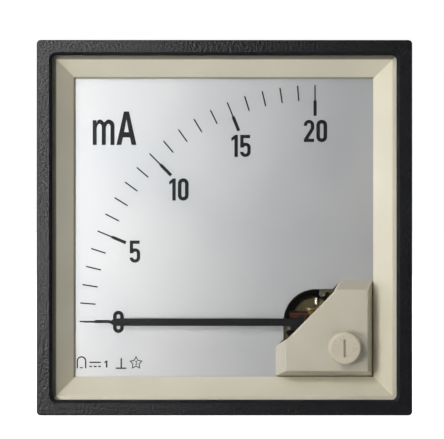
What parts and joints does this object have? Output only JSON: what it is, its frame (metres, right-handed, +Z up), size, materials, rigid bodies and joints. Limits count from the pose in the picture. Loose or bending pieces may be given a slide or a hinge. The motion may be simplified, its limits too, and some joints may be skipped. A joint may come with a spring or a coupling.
{
  "type": "analog panel meter",
  "caption": "Square moving-coil panel meter with a quadrant scale, pointer, zero adjuster, rear terminals and clamps that hold it in a panel cut-out.",
  "frame": {"origin": "middle of the plane in which the bezel's back meets the front of the panel", "axes": "+Y to the rear through the panel, +X to the right as seen from the front, +Z up"},
  "size_m": [0.1014, 0.0705, 0.096],
  "materials": {
    "black_moulding": "fine grain, satin",
    "window_glass": "clear, polished",
    "cream_moulding": "smooth, satin",
    "dial_aluminium": "silvered, satin, with printed scale",
    "pointer_black": "matt black lacquer",
    "chassis_moulding": "glass filled, matt",
    "soft_iron": "turned, lightly oiled",
    "magnet": "ground",
    "bright_brass": "turned",
    "spring_bronze": "rolled, bright",
    "bright_steel": "zinc plated",
    "bare_aluminium": "bright",
    "copper_winding": "enamelled wire",
    "plated_brass": "nickel plated",
    "board_laminate": "paper laminate",
    "resistor_body": "lacquered",
    "wire_insulation": "extruded"
  },
  "bodies": {
    "housing": {"bezel": "black_moulding", "bridge_screws": "bright_steel", "case_screws": "bright_steel", "clamp_bracket_left": "bright_steel", "clamp_bracket_right": "bright_steel", "core_magnet": "magnet", "core_spacers": "bright_brass", "dial_plate": "dial_aluminium", "front_bridge": "bright_brass", "front_jewel_screw": "bright_brass", "front_lock_nut": "plated_brass", "front_pillars": "bright_brass", "hookup_wires": "wire_insulation", "mask_frame": "cream_moulding", "movement_chassis": "chassis_moulding", "pivot_cover": "cream_moulding", "pointer_stops": "bright_steel", "rear_bridge": "bright_brass", "rear_case": "black_moulding", "rear_hairspring": "spring_bronze", "rear_jewel_screw": "bright_brass", "rear_lock_nut": "plated_brass", "rear_pillars": "bright_brass", "rear_spring_arm": "bright_brass", "resistor_board": "board_laminate", "resistors": "resistor_body", "terminal_inner_nuts": "plated_brass", "terminal_nuts": "plated_brass", "terminal_studs": "plated_brass", "terminal_tags": "plated_brass", "terminal_washers": "plated_brass", "window_glass": "window_glass", "yoke_ring": "soft_iron"},
    "pointer_movement": {"pointer": "pointer_black", "balance_cross": "bare_aluminium", "balance_weights": "bright_brass", "front_spindle": "bright_steel", "rear_spindle": "bright_steel", "coil_former": "bare_aluminium", "coil_winding": "copper_winding"},
    "adjuster": {"zero_adjuster": "cream_moulding"},
    "lever": {"zero_lever": "bright_brass", "front_hairspring": "spring_bronze"},
    "left_foot": {"clamp_foot_left": "bright_steel"},
    "right_foot": {"clamp_foot_right": "bright_steel"},
    "left_screw": {"clamp_screw_left": "bright_steel"},
    "right_screw": {"clamp_screw_right": "bright_steel"}
  },
  "joints": [
    {"name": "pointer_swing", "type": "hinge", "parent": "housing", "child": "pointer_movement", "pos_m": [0.02425, 0, -0.0248], "axis": [0, 1, 0], "range_deg": [-2, 93], "stiffness_Nm_per_rad": 0.00004, "deforming": ["front_hairspring", "rear_hairspring"]},
    {"name": "zero_adjust", "type": "hinge", "parent": "housing", "child": "adjuster", "pos_m": [0.0308, 0, -0.03085], "axis": [0, 1, 0], "range_deg": [-50, 50]},
    {"name": "zero_lever_turn", "type": "hinge", "parent": "housing", "child": "lever", "pos_m": [0.02425, 0, -0.0248], "axis": [0, 1, 0], "range_deg": [-5.5, 5.5]},
    {"name": "left_foot_slide", "type": "slide", "parent": "housing", "child": "left_foot", "axis": [0, -1, 0], "range_m": [0, 0.012]},
    {"name": "left_screw_turn", "type": "hinge", "parent": "left_foot", "child": "left_screw", "pos_m": [-0.04855, 0.03, 0], "axis": [0, -1, 0], "range_deg": [0, 9610]},
    {"name": "right_foot_slide", "type": "slide", "parent": "housing", "child": "right_foot", "axis": [0, -1, 0], "range_m": [0, 0.012]},
    {"name": "right_screw_turn", "type": "hinge", "parent": "right_foot", "child": "right_screw", "pos_m": [0.04855, 0.03, 0], "axis": [0, -1, 0], "range_deg": [0, 9610]}
  ],
  "couplings": [
    {"joint": "zero_lever_turn", "follows": "zero_adjust", "ratio": 0.1084},
    {"joint": "left_screw_turn", "follows": "left_foot_slide", "rad_per_m": 13963},
    {"joint": "right_screw_turn", "follows": "right_foot_slide", "rad_per_m": 13963}
  ]
}
